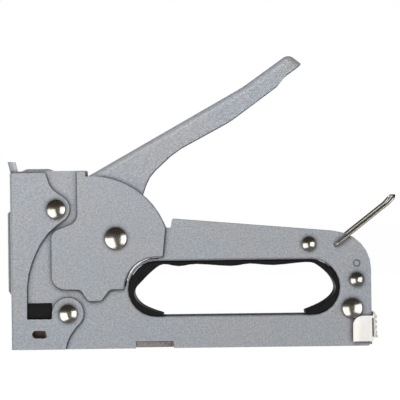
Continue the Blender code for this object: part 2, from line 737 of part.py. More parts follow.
def make_rivets():
    rivets = [make_rivet("pivot_rivet", PIVOT, PIVOT_HEAD, PIVOT_SHANK, PANEL_HALF + GAP)]
    for name, place, head, face in (
            ("front_upper", FRONT_UPPER, FRONT_UPPER_HEAD, BRACKET_HALF + GAP),
            ("front_lower", FRONT_LOWER, FRONT_LOWER_HEAD, BRACKET_HALF + GAP),
            ("grip_rear", GRIP_REAR, SMALL_HEAD, BASE_HALF + GAP),
            ("rear_middle", REAR_MIDDLE, SMALL_HEAD, BASE_HALF + GAP),
            ("rear_lower", REAR_LOWER, REAR_LOWER_HEAD, BASE_HALF + GAP)):
        rivets.append(make_rivet(name + "_rivet", place, head, SHANK, face))
    return rivets


def make_sleeves():
    inner = SHANK + GAP
    return [make_sleeve(name + "_sleeve", place, inner, inner + SLEEVE_WALL, SHELL_INNER - GAP)
            for name, place in (("front_upper", FRONT_UPPER), ("grip_rear", GRIP_REAR),
                                ("rear_middle", REAR_MIDDLE), ("rear_lower", REAR_LOWER))] + [
        make_sleeve("front_lower_sleeve", FRONT_LOWER, inner,
                    min(inner + SLEEVE_WALL, FRONT_LOWER[1] - CHANNEL_TOP_Z - GAP),
                    SHELL_INNER - GAP)]


# ================================================================ lever and claw
def lever_corners():
    hub = HUB_RADIUS
    x, z = PIVOT
    return [(*LEVER_HEEL, 0.0), (*LEVER_KNEE, 0.040), (*LEVER_TIP, LEVER_TIP_RADIUS),
            (*LEVER_NOSE, 0.0), (0.1386, 0.1364, 0.003), (0.1346, 0.1314, 0.003),
            (0.1105, 0.1138, 0.030), (0.0822, 0.0987, 0.025), (0.0686, 0.0861, 0.018),
            (x + 0.0090, z + 0.0090, 0.006), (x + hub + 0.0002, z - hub, hub - 0.0001),
            (x - hub, z - hub, hub - 0.0001), (x - hub, z + 0.0110, 0.008),
            (LEVER_HEEL[0], LEVER_HEEL[1] - 0.0088, 0.003)]


def along_chain(chain, half):
    """Picks the edges at the sides of a piece that follow a chain of points."""
    def picks(a, b):
        if not level(abs(a.y), half) or not level(a.y, b.y):
            return False
        middle = Vector(((a.x + b.x) / 2, (a.z + b.z) / 2))
        for p, q in zip(chain, chain[1:]):
            run = q - p
            share = max(0.0, min(1.0, (middle - p).dot(run) / run.length_squared))
            if (p + run * share - middle).length < 1e-5:
                return True
        return False
    return picks


def make_lever():
    corners = lever_corners()
    lever = prism("lever", [rounded(corners)], -LEVER_HALF, LEVER_HALF)
    web = rounded(corners[:4], closed=False)
    soften(lever, LEVER_SHOULDER, along_chain(web, LEVER_HALF), 4)
    out = -0.004
    chain = [corners[-1]] + corners[:5]
    inner = inset(chain[::-1], [out, LEVER_SHEET, LEVER_SHEET, LEVER_SHEET, out])[::-1]
    first, last = inner[0], inner[-1]
    inner = inner[1:-1]
    below = [(last[0], last[1], 0), (0.1300, 0.1180, 0), (0.0900, 0.0900, 0), (0.0800, 0.0400, 0),
             (0.0350, 0.0400, 0), (first[0], first[1], 0)]
    hollow = prism("hollow", [rounded(inner + below)], -LEVER_HALF + LEVER_SHEET,
                   LEVER_HALF - LEVER_SHEET)
    inner_web = rounded(inner, closed=False)
    soften(hollow, LEVER_SHOULDER - LEVER_SHEET,
           along_chain(inner_web, LEVER_HALF - LEVER_SHEET), 4)
    cut(lever, hollow, hole("bush_hole", PIVOT, BUSH_RADIUS + GAP),
        hole("pin_hole", CLAW_PIN, CLAW_PIN_RADIUS + GAP))
    return baked(lever)


def make_claw():
    nose_x, nose_z = CLAW_NOSE
    r = CLAW_NOSE_RADIUS
    x, z = PIVOT
    pin_x, pin_z = CLAW_PIN
    outline = [(nose_x - r, nose_z - r, r * 0.98), (x, z - 0.0080, 0.007),
               (x + 0.0074, z - 0.0060, 0.006), (pin_x + 0.0052, pin_z + 0.0030, 0.004),
               (pin_x - 0.0030, pin_z + 0.0055, 0.004), (x - 0.0067, z + 0.0045, 0.006),
               (x - 0.0079, z - 0.0033, 0.004), (nose_x + 0.0030, nose_z + 0.0003, 0.001),
               (nose_x + 0.0010, nose_z + r, 0), (nose_x - r, nose_z + r, r * 0.98)]
    claw = prism("lever_claw", [rounded(outline)], -CLAW_HALF, CLAW_HALF)
    cut(claw, hole("bush_hole", PIVOT, BUSH_RADIUS + GAP),
        hole("pin_hole", CLAW_PIN, CLAW_PIN_RADIUS + GAP))
    return baked(claw)


def make_lever_fittings():
    pin = rod("claw_pin", CLAW_PIN_RADIUS, (CLAW_PIN[0], -LEVER_HALF, CLAW_PIN[1]),
              (CLAW_PIN[0], LEVER_HALF, CLAW_PIN[1]), 20)
    bush = make_sleeve("lever_bush", PIVOT, PIVOT_SHANK + GAP, BUSH_RADIUS, LEVER_HALF)
    return pin, bush


# ================================================================ plunger, striker, springs
def make_plunger():
    plate = (PLUNGER_FLOOR_Z, PLUNGER_PLATE_TOP_Z)
    plunger = box("plunger", (PLUNGER_X, PLUNGER_PLATE_X[1]), (-PLUNGER_HALF, PLUNGER_HALF),
                  (PLUNGER_FLOOR_Z, PLUNGER_TABLE_Z))
    join(plunger, box("plate", PLUNGER_PLATE_X, (-PLUNGER_HALF + 0.0015, PLUNGER_HALF - 0.0015),
                      (plate[0] + 0.001, plate[1])))
    join(plunger, box("ledge", (PLUNGER_PLATE_X[0] + 0.001, PLUNGER_LEDGE_X),
                      (-PLUNGER_HALF + 0.0025, PLUNGER_HALF - 0.0025),
                      (CLAW_NOSE[1] + CLAW_NOSE_RADIUS + GAP, PLUNGER_PLATE_TOP_Z - 0.0005)))
    join(plunger, rod("post", PLUNGER_POST, (MAIN_SPRING_X, 0, PLUNGER_TABLE_Z - 0.002),
                      (MAIN_SPRING_X, 0, PLUNGER_POST_TOP_Z), 20))
    for side in (-1, 1):
        y = side * STRIKER_PIN_Y
        z = (PLUNGER_FLOOR_Z + PLUNGER_TABLE_Z) / 2
        cut(plunger, rod("pin_hole", STRIKER_PIN_RADIUS + GAP, (0, y, z), (PLUNGER_X + 0.004, y, z), 16))
    return baked(plunger)


def make_striker():
    z = (PLUNGER_FLOOR_Z + PLUNGER_TABLE_Z) / 2
    striker = box("striker", (STRIKER_X, STRIKER_X + STRIKER_SHEET), (-STRIKER_HALF, STRIKER_HALF),
                  (STRIKER_FOOT_Z, PLUNGER_TABLE_Z))
    pins = []
    for side, name in ((-1, "left"), (1, "right")):
        y = side * STRIKER_PIN_Y
        cut(striker, rod("pin_hole", STRIKER_PIN_RADIUS + GAP, (-FAR, y, z), (FAR, y, z), 16))
        pins.append(rod("striker_pin_" + name, STRIKER_PIN_RADIUS, (STRIKER_X, y, z),
                        (PLUNGER_X + 0.004 - GAP, y, z), 16))
    return baked(striker), pins


def coil(radius, start, end, turns, per_turn):
    """Points of a helix along Z, as (x, y, z) about the origin."""
    count = int(turns * per_turn)
    return [(radius * math.cos(2 * math.pi * i / per_turn),
             radius * math.sin(2 * math.pi * i / per_turn),
             start + (end - start) * i / count) for i in range(count + 1)]


def make_springs():
    low = PLUNGER_TABLE_Z + MAIN_SPRING_WIRE + GAP
    high = MAIN_SPRING_TOP_Z - MAIN_SPRING_WIRE
    main = wire("main_spring",
                [(MAIN_SPRING_X + x, y, z) for x, y, z in
                 coil(MAIN_SPRING_RADIUS, low, high, MAIN_SPRING_TURNS, 12)],
                MAIN_SPRING_WIRE, 1)
    y_low = CLAW_HALF + 0.0010
    y_high = LEVER_HALF - LEVER_SHEET - RETURN_SPRING_WIRE - RUN * 2
    turns = [(PIVOT[0] + x, y, PIVOT[1] + z) for x, z, y in
             coil(RETURN_SPRING_RADIUS, y_low, y_high, 2.75, 16)]
    last = Vector(turns[-1])
    foot = [(CLAW_PIN[0] + CLAW_PIN_RADIUS + RETURN_SPRING_WIRE + RUN * 2, y_low, CLAW_PIN[1])]
    leg = [(last.x + 0.0150, last.y, last.z - 0.0010)]
    back = wire("lever_return_spring", foot + turns + leg, RETURN_SPRING_WIRE, 1)
    start = FOLLOWER_X[1] - 0.0012 + PUSHER_SPRING_WIRE
    along = wire("pusher_spring",
                 [(z, x, ROD_Z + y) for x, y, z in
                  coil(PUSHER_SPRING_RADIUS, start, RAIL_REAR_X - 0.001, PUSHER_SPRING_TURNS, 9)],
                 PUSHER_SPRING_WIRE, 0)
    return main, back, along


# ================================================================ magazine and pusher
def make_channel():
    channel = box("magazine_channel", (CHANNEL_X, CHANNEL_REAR_X), (-CHANNEL_HALF, CHANNEL_HALF),
                  (CHANNEL_FOOT_Z, CHANNEL_TOP_Z))
    for side in (-1, 1):
        y = sorted((side * (CHANNEL_HALF - 0.0004), side * TAB_HALF))
        join(channel, box("tab", TAB_X, y, TAB_Z))
    cut(channel, box("bore", (-FAR, CHANNEL_REAR_X + FAR), (-CHANNEL_INNER, CHANNEL_INNER),
                     (-FAR, CHANNEL_ROOF_Z)), sight_slot())
    return baked(channel)


def make_follower():
    follower = box("staple_follower", FOLLOWER_X, (-FOLLOWER_HALF, FOLLOWER_HALF),
                   (FOLLOWER_FOOT_Z, FOLLOWER_TOP_Z))
    cut(follower, box("bore", (-FAR, FAR * 2), (-FOLLOWER_INNER, FOLLOWER_INNER),
                      (-FAR, FOLLOWER_TOP_Z - FOLLOWER_SHEET)))
    rear = FOLLOWER_X[1] - 0.0016
    join(follower, box("tongue", (rear - 0.0018, rear),
                       (-RAIL_SLOT_HALF + RUN, RAIL_SLOT_HALF - RUN),
                       (ROD_Z + ROD_RADIUS + RUN, FOLLOWER_TOP_Z - FOLLOWER_SHEET / 2)))
    return baked(follower)


def make_rail():
    front = FOLLOWER_X[0]
    rail = box("pusher_rail", (front, RAIL_REAR_X), (-RAIL_HALF, RAIL_HALF),
               (CHANNEL_FOOT_Z, RAIL_TOP_Z))
    cut(rail, box("bore", (front - FAR, RAIL_REAR_X + FAR),
                  (-RAIL_HALF + RAIL_SHEET, RAIL_HALF - RAIL_SHEET),
                  (-FAR, RAIL_TOP_Z - RAIL_SHEET)))
    cut(rail, box("slot", (front + 0.004, FOLLOWER_X[1] + FOLLOWER_TRAVEL + 0.001),
                  (-RAIL_SLOT_HALF, RAIL_SLOT_HALF), (RAIL_TOP_Z - 0.002, FAR)))
    nose = box("rail_nose", (front + 0.0003, front + 0.0018),
               (-RAIL_HALF + RAIL_SHEET + GAP, RAIL_HALF - RAIL_SHEET - GAP),
               (CHANNEL_FOOT_Z + 0.001, RAIL_TOP_Z - RAIL_SHEET - GAP))
    cut(nose, rod("rod_hole", ROD_RADIUS + GAP, (front - FAR, 0, ROD_Z), (front + FAR, 0, ROD_Z), 12))
    bar = rod("pusher_rod", ROD_RADIUS, (front + 0.0003, 0, ROD_Z),
              (LATCH_BACK_X + LATCH_SHEET + 0.0008, 0, ROD_Z), 12)
    return baked(rail), baked(nose), bar


def make_latch():
    inner, outer = LATCH_INNER, LATCH_INNER + LATCH_SHEET
    back, rear = LATCH_BACK_X, LATCH_BACK_X + LATCH_SHEET
    flare_x = LATCH_WING_X + 0.0030
    right = [(LATCH_WING_X, outer + LATCH_FLARE, 0), (LATCH_WING_X, inner + LATCH_FLARE, 0),
             (flare_x, inner, 0.004), (back, inner, 0.0008)]
    right_out = [(rear, outer, 0.0017), (flare_x, outer, 0.004)]
    left = [(x, -y, r) for x, y, r in right]
    left_out = [(x, -y, r) for x, y, r in right_out]
    plan = right + left[::-1] + left_out[::-1] + right_out
    latch = prism("pusher_latch", [rounded(plan)], LATCH_WING_Z[0], LATCH_BACK_Z[1], "XY")
    split = LATCH_BACK_X - 0.0004
    corner = [(split, LATCH_WING_Z[1], 0), (LATCH_WING_X - 0.0001, LATCH_WING_Z[1], LATCH_CORNER),
              (LATCH_WING_X - 0.0001, LATCH_WING_Z[0] - 0.001, 0),
              (LATCH_WING_X - FAR, LATCH_WING_Z[0] - 0.001, 0),
              (LATCH_WING_X - FAR, LATCH_BACK_Z[1] + FAR, 0), (split, LATCH_BACK_Z[1] + FAR, 0)]
    foot = box("foot", (split, rear + FAR), (-FAR, FAR), (-FAR, LATCH_BACK_Z[0]))
    for i in range(4):
        low = LATCH_BACK_Z[0] + 0.0019 + 0.0026 * i
        join(latch, box("rib", (rear - 0.0003, rear + LATCH_RIB), (-inner + 0.002, inner - 0.002),
                        (low, low + 0.0015)))
    join(latch, box("lip", (rear - 0.0003, rear + LATCH_RIB * 1.6), (-0.0060, 0.0060),
                    (LATCH_BACK_Z[0], LATCH_BACK_Z[0] + LATCH_SHEET)))
    slit = (back - LATCH_SLIT - 0.0001, back - 0.0001)
    slits = [box("slit", slit, sorted((side * (inner - 0.001), side * (outer + 0.001))),
                 (LATCH_WING_Z[0] + 0.0023, LATCH_WING_Z[1] - 0.0011)) for side in (-1, 1)]
    cut(latch, *slits, prism("corner", [rounded(corner)], -FAR, FAR), foot,
        rod("rod_hole", ROD_RADIUS + GAP, (LATCH_WING_X, 0, ROD_Z), (rear + FAR, 0, ROD_Z), 12))
    return baked(latch)


# ================================================================ bail, liner, bumper
def make_bail():
    """Wire loop with both ends turned in through the shells."""
    along = Vector((math.cos(BAIL_ANGLE), 0.0, math.sin(BAIL_ANGLE)))
    hook = Vector((-math.sin(BAIL_ANGLE), 0.0, math.cos(BAIL_ANGLE)))
    foot = Vector((BAIL_HOLE[0], 0.0, BAIL_HOLE[1]))
    bend = 0.0022
    inner = SHELL_INNER - 0.0010
    half = [foot + Vector((0, inner, 0))]
    for i in range(5):
        turn = math.radians(90 * i / 4)
        half.append(foot + Vector((0, BAIL_HALF - bend + bend * math.sin(turn), 0))
                    + along * bend * (1 - math.cos(turn)))
    reach = BAIL_LENGTH - BAIL_WIRE
    corner = 0.0030
    half.append(foot + Vector((0, BAIL_HALF, 0)) + along * (reach - 0.006))
    for i in range(5):
        turn = math.radians(90 * i / 4)
        rise = 0.0012 * (i + 1) / 5
        half.append(foot + Vector((0, BAIL_HALF - corner * (1 - math.cos(turn)), 0))
                    + along * (reach - corner * (1 - math.sin(turn))) + hook * rise)
    loop = half + [Vector((p.x, -p.y, p.z)) for p in reversed(half)]
    return wire("lock_bail", loop, BAIL_WIRE, 2)


def smooth(points, steps=3):
    """A Catmull-Rom curve through points."""
    result = []
    for i in range(len(points) - 1):
        before = Vector(points[max(i - 1, 0)])
        start, end = Vector(points[i]), Vector(points[i + 1])
        after = Vector(points[min(i + 2, len(points) - 1)])
        for k in range(steps):
            t = k / steps
            result.append(0.5 * (2 * start + (end - before) * t
                                 + (2 * before - 5 * start + 4 * end - after) * t * t
                                 + (3 * start - before - 3 * end + after) * t ** 3))
    return result + [Vector(points[-1])]


def make_liner():
    """Finger guard: follows the opening outside and the fingers inside."""
    radius = OPENING_RADIUS - GAP
    outer = stadium(radius)
    floor_z = OPENING_Z - radius
    half = len(outer) // 2
    front = [Vector((LINER_END_X[0], floor_z))] + outer[:half][::-1]
    rear = outer[half:][::-1] + [Vector((LINER_END_X[1], floor_z))]
    rear_x, front_x = OPENING_REAR_X, OPENING_FRONT_X
    span = rear_x - front_x
    heel = [(LINER_END_X[1], 0.0176), (rear_x + 0.0044, 0.0208), (rear_x + 0.0100, 0.0248),
            (rear_x + 0.0119, 0.0295), (rear_x + 0.0090, 0.0355), (rear_x + 0.0026, 0.0408),
            (rear_x - 0.0031, 0.0422)]
    fingers = [(front_x + span * share, z) for share, z in
               ((0.756, 0.0409), (0.603, 0.0418), (0.480, 0.0407), (0.263, 0.0419), (0.147, 0.0409))]
    toe = [(front_x + 0.0038, 0.0420), (front_x - 0.0014, 0.0390), (front_x - 0.0070, 0.0336),
           (front_x - 0.0107, 0.0292), (front_x - 0.0103, 0.0252), (front_x - 0.0068, 0.0212),
           (front_x - 0.0010, 0.0184), (front_x + 0.0030, 0.0171), (LINER_END_X[0], 0.0166)]
    inner = smooth(heel + fingers + toe)
    outline = front + rear + inner
    liner = prism("grip_liner", [outline], -LINER_HALF, LINER_HALF)
    return liner


def make_bumper():
    x = (WINDOW_X[0] + GAP, WINDOW_X[1] - GAP)
    z = (WINDOW_Z[0] + GAP, WINDOW_Z[1] - GAP)
    half = (BRACKET_INNER + BRACKET_HALF) / 2
    bumper = box("bumper", x, (-half, half), z)
    soften(bumper, 0.0005, lambda a, b: level(a.y, b.y) and level(abs(a.y), half), 1)
    return baked(bumper)


# ================================================================ the tool
def build():
    start_scene()
    paint = finish("hammered_grey_paint", (0.38, 0.40, 0.42), 0.38, 0.55)
    nickel = finish("nickel", (0.72, 0.71, 0.68), 0.16, 1.0)
    steel = finish("spring_steel", (0.30, 0.30, 0.31), 0.30, 1.0)
    plastic = finish("black_plastic", (0.018, 0.018, 0.019), 0.55, 0.0)
    rubber = finish("black_rubber", (0.012, 0.012, 0.012), 0.80, 0.0)
    bronze = finish("bronzed_steel", (0.16, 0.09, 0.07), 0.45, 0.9)

    give(paint, *make_shells(), make_bracket(), make_cap())
    give(nickel, *make_rivets())
    give(steel, *make_sleeves())
    give(plastic, make_liner())
    give(rubber, make_bumper())
    give(nickel, make_channel())

    lever, claw = make_lever(), make_claw()
    pin, bush = make_lever_fittings()
    give(paint, lever)
    give(steel, claw, pin, bush)
    carry(axis_empty("lever_axis", (PIVOT[0], 0, PIVOT[1])), lever, claw, pin, bush)

    plunger = make_plunger()
    striker, pins = make_striker()
    give(steel, plunger, striker, *pins)
    carry(axis_empty("plunger_axis", (MAIN_SPRING_X, 0, PLUNGER_FLOOR_Z)), plunger, striker, *pins)

    main_spring, return_spring, pusher_spring = make_springs()
    give(steel, main_spring, return_spring, pusher_spring)

    rail, nose, bar = make_rail()
    latch = make_latch()
    follower = make_follower()
    give(nickel, rail, nose, bar, latch)
    give(bronze, follower)
    slide = axis_empty("pusher_axis", (RAIL_REAR_X, 0, ROD_Z))
    carry(slide, rail, nose, bar, latch, pusher_spring, follower)

    bail = make_bail()
    give(nickel, bail)
    carry(axis_empty("bail_axis", (BAIL_HOLE[0], 0, BAIL_HOLE[1])), bail)


build()
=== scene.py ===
"""Looks of a hand staple gun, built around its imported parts. Metres, +X to the rear, +Z up."""

import math

import bmesh
import bpy
from mathutils import Matrix, Vector


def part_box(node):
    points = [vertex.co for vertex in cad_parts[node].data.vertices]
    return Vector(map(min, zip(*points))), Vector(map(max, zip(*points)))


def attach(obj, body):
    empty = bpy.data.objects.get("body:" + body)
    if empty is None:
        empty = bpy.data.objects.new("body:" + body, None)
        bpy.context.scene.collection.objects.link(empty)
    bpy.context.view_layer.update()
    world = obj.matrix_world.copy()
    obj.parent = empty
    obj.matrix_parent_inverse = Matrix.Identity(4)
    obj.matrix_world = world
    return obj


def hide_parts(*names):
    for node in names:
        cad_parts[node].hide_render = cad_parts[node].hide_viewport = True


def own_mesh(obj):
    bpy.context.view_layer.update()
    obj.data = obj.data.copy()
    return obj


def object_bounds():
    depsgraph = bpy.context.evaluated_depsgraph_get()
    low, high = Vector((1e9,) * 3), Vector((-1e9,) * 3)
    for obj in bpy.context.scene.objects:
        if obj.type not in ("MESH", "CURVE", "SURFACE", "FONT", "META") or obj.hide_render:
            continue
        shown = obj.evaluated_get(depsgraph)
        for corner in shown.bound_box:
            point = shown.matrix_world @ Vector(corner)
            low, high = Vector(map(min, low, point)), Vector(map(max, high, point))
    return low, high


bl_info = {
    "name": "Staple Gun",
    "version": (1, 0, 0),
    "blender": (4, 5, 0),
    "location": "View3D > Sidebar > Staple Gun",
    "description": "Finishes and detailed pieces of a hand staple gun",
    "category": "Add Mesh",
}

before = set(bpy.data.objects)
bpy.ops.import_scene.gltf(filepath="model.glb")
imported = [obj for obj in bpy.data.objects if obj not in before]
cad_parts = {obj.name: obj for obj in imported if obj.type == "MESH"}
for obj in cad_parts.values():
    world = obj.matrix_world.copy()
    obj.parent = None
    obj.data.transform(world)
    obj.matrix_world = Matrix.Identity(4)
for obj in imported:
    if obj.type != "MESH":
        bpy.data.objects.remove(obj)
CAD_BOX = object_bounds()

PAINTED = ("left_shell", "right_shell", "front_bracket", "spring_cap", "lever")
PLATED = ("magazine_channel", "pusher_rail", "rail_nose", "pusher_rod")
OILED = ("front_upper_sleeve", "front_lower_sleeve", "grip_rear_sleeve", "rear_middle_sleeve",
         "rear_lower_sleeve", "lever_claw", "claw_pin", "lever_bush", "plunger", "striker",
         "striker_pin_left", "striker_pin_right", "lever_return_spring")
RIVETS = ("pivot_rivet", "front_upper_rivet", "front_lower_rivet", "grip_rear_rivet",
          "rear_middle_rivet", "rear_lower_rivet")

CRISP_DEGREES = 34.0            # edges turned further than this stay sharp

RIVET_RISE = 0.0024             # height of a domed head
RIVET_RIM = 0.42                # share of that height that stands straight up at the rim
PIVOT_SHANK = 0.0025            # thickness of the lever axle's shank
RIVET_SHANK = 0.0017            # and of the others

BAIL_FOOT = Vector((0.1622, 0.0, 0.0507))
BAIL_TILT = math.radians(37.8)
BAIL_REACH = 0.0385             # from the foot to the far bend
BAIL_HALF = 0.0114              # half width, to the middle of the wire
BAIL_INNER = 0.0078             # where the turned-in ends stop
BAIL_TIP = 0.0050               # length of the last stretch, which turns up a little
BAIL_TIP_LIFT = 0.0008
BAIL_BEND = 0.0022
BAIL_WIRE = 0.0008

RING_PLACE = (0.1726, 0.0100, 0.0415)
RING_RADIUS = 0.0016
RING_LIP = 0.00028

BUMPER_EDGE = 0.0006
RIB_HEIGHTS = (0.10, 0.22, 0.78, 0.90)      # in shares of the bumper's height
RIB_SHORTER = 0.0014            # how much shorter a rib is than the bumper

MAIN_TURNS = 9.0
LONG_TURNS = 44.0

TOOL_MIDDLE = Vector((0.0945, 0.0, 0.074))
FLOOR_REACH = 4.0
FLOOR_GAP = 0.0002              # the floor lies this far under the sole
FLOOR_GLOW = 0.99
WORLD_LOW = (0.02, (0.125, 0.118, 0.102, 1))    # height on the ramp, and its colour
WORLD_HIGH = (0.42, (0.040, 0.036, 0.028, 1))
LAMPS = (                       # name, place, size, power
    ("left_box", (-0.36, -0.60, -0.30), 0.76, 2.6),
    ("right_box", (0.68, -0.60, -0.08), 0.66, 2.2),
    ("upper_box", (-0.02, -0.36, 0.36), 0.28, 2.05),
    ("rear_box", (0.62, 0.55, 0.16), 0.50, 3.4),
    ("rear_low_box", (-0.42, 0.55, -0.16), 0.50, 3.4))


# ---------------------------------------------------------------- sizes and colours
class PaintSettings(bpy.types.PropertyGroup):
    colour: bpy.props.FloatVectorProperty(
        name="Colour", description="Base colour of the hammered paint",
        subtype="COLOR", size=3, min=0, max=1, default=(0.392, 0.412, 0.446))
    cell: bpy.props.FloatProperty(
        name="Cell", description="Size of one cell of the hammered pattern",
        subtype="DISTANCE", unit="LENGTH", default=0.0009)
    depth: bpy.props.FloatProperty(
        name="Depth", description="Depth of the hammered pattern",
        subtype="DISTANCE", unit="LENGTH", default=0.00008)
    # Reach of the painted shade that darkens gaps and steps.
    crease: bpy.props.FloatProperty(
        name="Crease", description="How far the dark of a gap or step reaches",
        subtype="DISTANCE", unit="LENGTH", default=0.0031)
    edge: bpy.props.FloatProperty(
        name="Edge", description="Radius of the pressed edges",
        subtype="DISTANCE", unit="LENGTH", default=0.00028)


class MetalSettings(bpy.types.PropertyGroup):
    nickel: bpy.props.FloatVectorProperty(
        name="Nickel", description="Colour of the plated pieces",
        subtype="COLOR", size=3, min=0, max=1, default=(0.80, 0.765, 0.71))
    steel: bpy.props.FloatVectorProperty(
        name="Steel", description="Colour of the bare oiled steel",
        subtype="COLOR", size=3, min=0, max=1, default=(0.34, 0.33, 0.32))
    bronze: bpy.props.FloatVectorProperty(
        name="Bronze", description="Colour of the staple follower",
        subtype="COLOR", size=3, min=0, max=1, default=(0.185, 0.120, 0.100))
    # Reach of the painted shade that darkens gaps and steps.
    crease: bpy.props.FloatProperty(
        name="Crease", description="How far the dark of a gap or step reaches",
        subtype="DISTANCE", unit="LENGTH", default=0.0005)
    main_wire: bpy.props.FloatProperty(
        name="Main wire", description="Thickness of the main spring's wire",
        subtype="DISTANCE", unit="LENGTH", default=0.0024)
    long_wire: bpy.props.FloatProperty(
        name="Long wire", description="Thickness of the pusher spring's wire",
        subtype="DISTANCE", unit="LENGTH", default=0.0006)


class GripSettings(bpy.types.PropertyGroup):
    black: bpy.props.FloatVectorProperty(
        name="Black", description="Colour of the finger guard",
        subtype="COLOR", size=3, min=0, max=1, default=(0.0055, 0.0055, 0.0060))
    grain: bpy.props.FloatProperty(
        name="Grain", description="Size of the moulded grain",
        subtype="DISTANCE", unit="LENGTH", default=0.0004)
    edge: bpy.props.FloatProperty(
        name="Edge", description="Radius of the finger guard's edges",
        subtype="DISTANCE", unit="LENGTH", default=0.0006)
    rib: bpy.props.FloatProperty(
        name="Rib", description="Half thickness of the bumper's ribs",
        subtype="DISTANCE", unit="LENGTH", default=0.0003)


class StageSettings(bpy.types.PropertyGroup):
    distance: bpy.props.FloatProperty(
        name="Camera distance", description="From the camera to the near face of the tool",
        subtype="DISTANCE", unit="LENGTH", default=0.85)
    focal: bpy.props.FloatProperty(
        name="Focal length", description="Focal length on a 36 mm sensor, in millimetres",
        default=153.5)
    roll: bpy.props.FloatProperty(
        name="Roll", description="Turn of the camera about its line of sight",
        subtype="ANGLE", unit="ROTATION", default=math.radians(0.7))


# ---------------------------------------------------------------- node helpers
class Tree:
    """The calls that material trees and geometry trees share."""

    def add(self, kind, **inputs):
        node = self.tree.nodes.new(kind)
        for key, value in inputs.items():
            self.feed(node.inputs[key.replace("_", " ")], value)
        return node

    def feed(self, socket, value):
        if isinstance(value, bpy.types.NodeSocket):
            self.tree.links.new(value, socket)
        else:
            socket.default_value = value

    def maths(self, how, a, b=0.0):
        node = self.add("ShaderNodeMath")
        node.operation = how
        self.feed(node.inputs[0], a)
        self.feed(node.inputs[1], b)
        return node.outputs[0]


# ---------------------------------------------------------------- material helpers
class Nodes(Tree):
    """Short calls for building one material's nodes."""

    def __init__(self, name):
        self.material = bpy.data.materials.new(name)
        self.material.use_nodes = True
        self.tree = self.material.node_tree
        self.shader = self.tree.nodes["Principled BSDF"]
        self.place = self.add("ShaderNodeTexCoord").outputs["Object"]

    def noise(self, scale, detail=3.0, roughness=0.5, place=None):
        node = self.add("ShaderNodeTexNoise", Vector=place or self.place, Scale=scale,
                        Detail=detail, Roughness=roughness)
        return node.outputs["Fac"]

    def cells(self, scale):
        node = self.add("ShaderNodeTexVoronoi", Vector=self.place, Scale=scale, Randomness=1.0)
        node.feature = "SMOOTH_F1"
        return node.outputs["Distance"]

    def stretched(self, scale):
        node = self.add("ShaderNodeMapping", Vector=self.place)
        node.inputs["Scale"].default_value = scale
        return node.outputs["Vector"]

    def ramp(self, fac, stops):
        node = self.add("ShaderNodeValToRGB", Fac=fac)
        ramp = node.color_ramp
        while len(ramp.elements) < len(stops):
            ramp.elements.new(0.5)
        for element, (position, value) in zip(ramp.elements, stops):
            element.position = position
            element.color = value if isinstance(value, tuple) else (value, value, value, 1.0)
        return node.outputs["Color"]

    def mix(self, fac, a, b, how="MIX"):
        node = self.add("ShaderNodeMix")
        node.data_type = "RGBA"
        node.blend_type = how
        self.feed(node.inputs["Factor"], fac)
        self.feed(node.inputs[6], a)
        self.feed(node.inputs[7], b)
        return node.outputs[2]

    def bump(self, height, distance, strength):
        node = self.add("ShaderNodeBump", Height=height, Distance=distance, Strength=strength)
        return node.outputs["Normal"]

    def painted_crease_shade(self, reach, darkest):
        """Painted shade from ambient occlusion: 1 in the open, falling towards darkest in creases
        and gaps.
        """
        node = self.add("ShaderNodeAmbientOcclusion", Distance=reach)
        node.samples = 12
        return self.ramp(node.outputs["AO"], [(0.42, darkest), (0.95, 1.0)])


def shade(value, factor):
    return tuple(min(1.0, c * factor) for c in value) + (1.0,)


def hammered_paint(settings, name="hammered_grey_paint", shade_factor=1.0):
    n = Nodes(name)
    per_metre = 1.0 / settings.cell
    # A factor under 1 gives a darker copy of the paint, as painted shade.
    base = shade(tuple(settings.colour), shade_factor)[:3]
    mottle = n.noise(per_metre, 4.0, 0.72)
    fleck = n.noise(per_metre * 2.2, 2.0, 0.60)
    cloud = n.noise(45.0, 3.0, 0.55)
    tone = n.ramp(mottle, [(0.36, shade(base, 0.80)), (0.50, shade(base, 1.0)),
                           (0.66, shade(base, 1.24))])
    warm = (1.02, 1.0, 0.98, 1.0)
    cool = (0.98, 1.0, 1.02, 1.0)
    tone = n.mix(1.0, tone, n.ramp(cloud, [(0.40, warm), (0.60, cool)]), "MULTIPLY")
    grey = n.ramp(fleck, [(0.34, 0.84), (0.5, 1.0), (0.68, 1.0)])
    tone = n.mix(1.0, tone, grey, "MULTIPLY")
    spark = n.ramp(fleck, [(0.62, 0.0), (0.74, 0.5)])
    tone = n.mix(spark, tone, shade(base, 1.7))
    # Painted shade: the paint darkens in creases, gaps and steps, by ambient occlusion.
    tone = n.mix(1.0, tone, n.painted_crease_shade(settings.crease, 0.10), "MULTIPLY")
    n.feed(n.shader.inputs["Base Color"], tone)
    n.shader.inputs["Metallic"].default_value = 0.25
    n.feed(n.shader.inputs["Roughness"], n.ramp(mottle, [(0.36, 0.55), (0.64, 0.45)]))
    n.shader.inputs["Coat Weight"].default_value = 0.10
    n.shader.inputs["Coat Roughness"].default_value = 0.35
    hills = n.noise(per_metre * 0.8, 2.0, 0.5)
    height = n.maths("ADD", hills, n.maths("MULTIPLY", fleck, 0.25))
    n.feed(n.shader.inputs["Normal"], n.bump(height, settings.depth, 1.0))
    return n.material


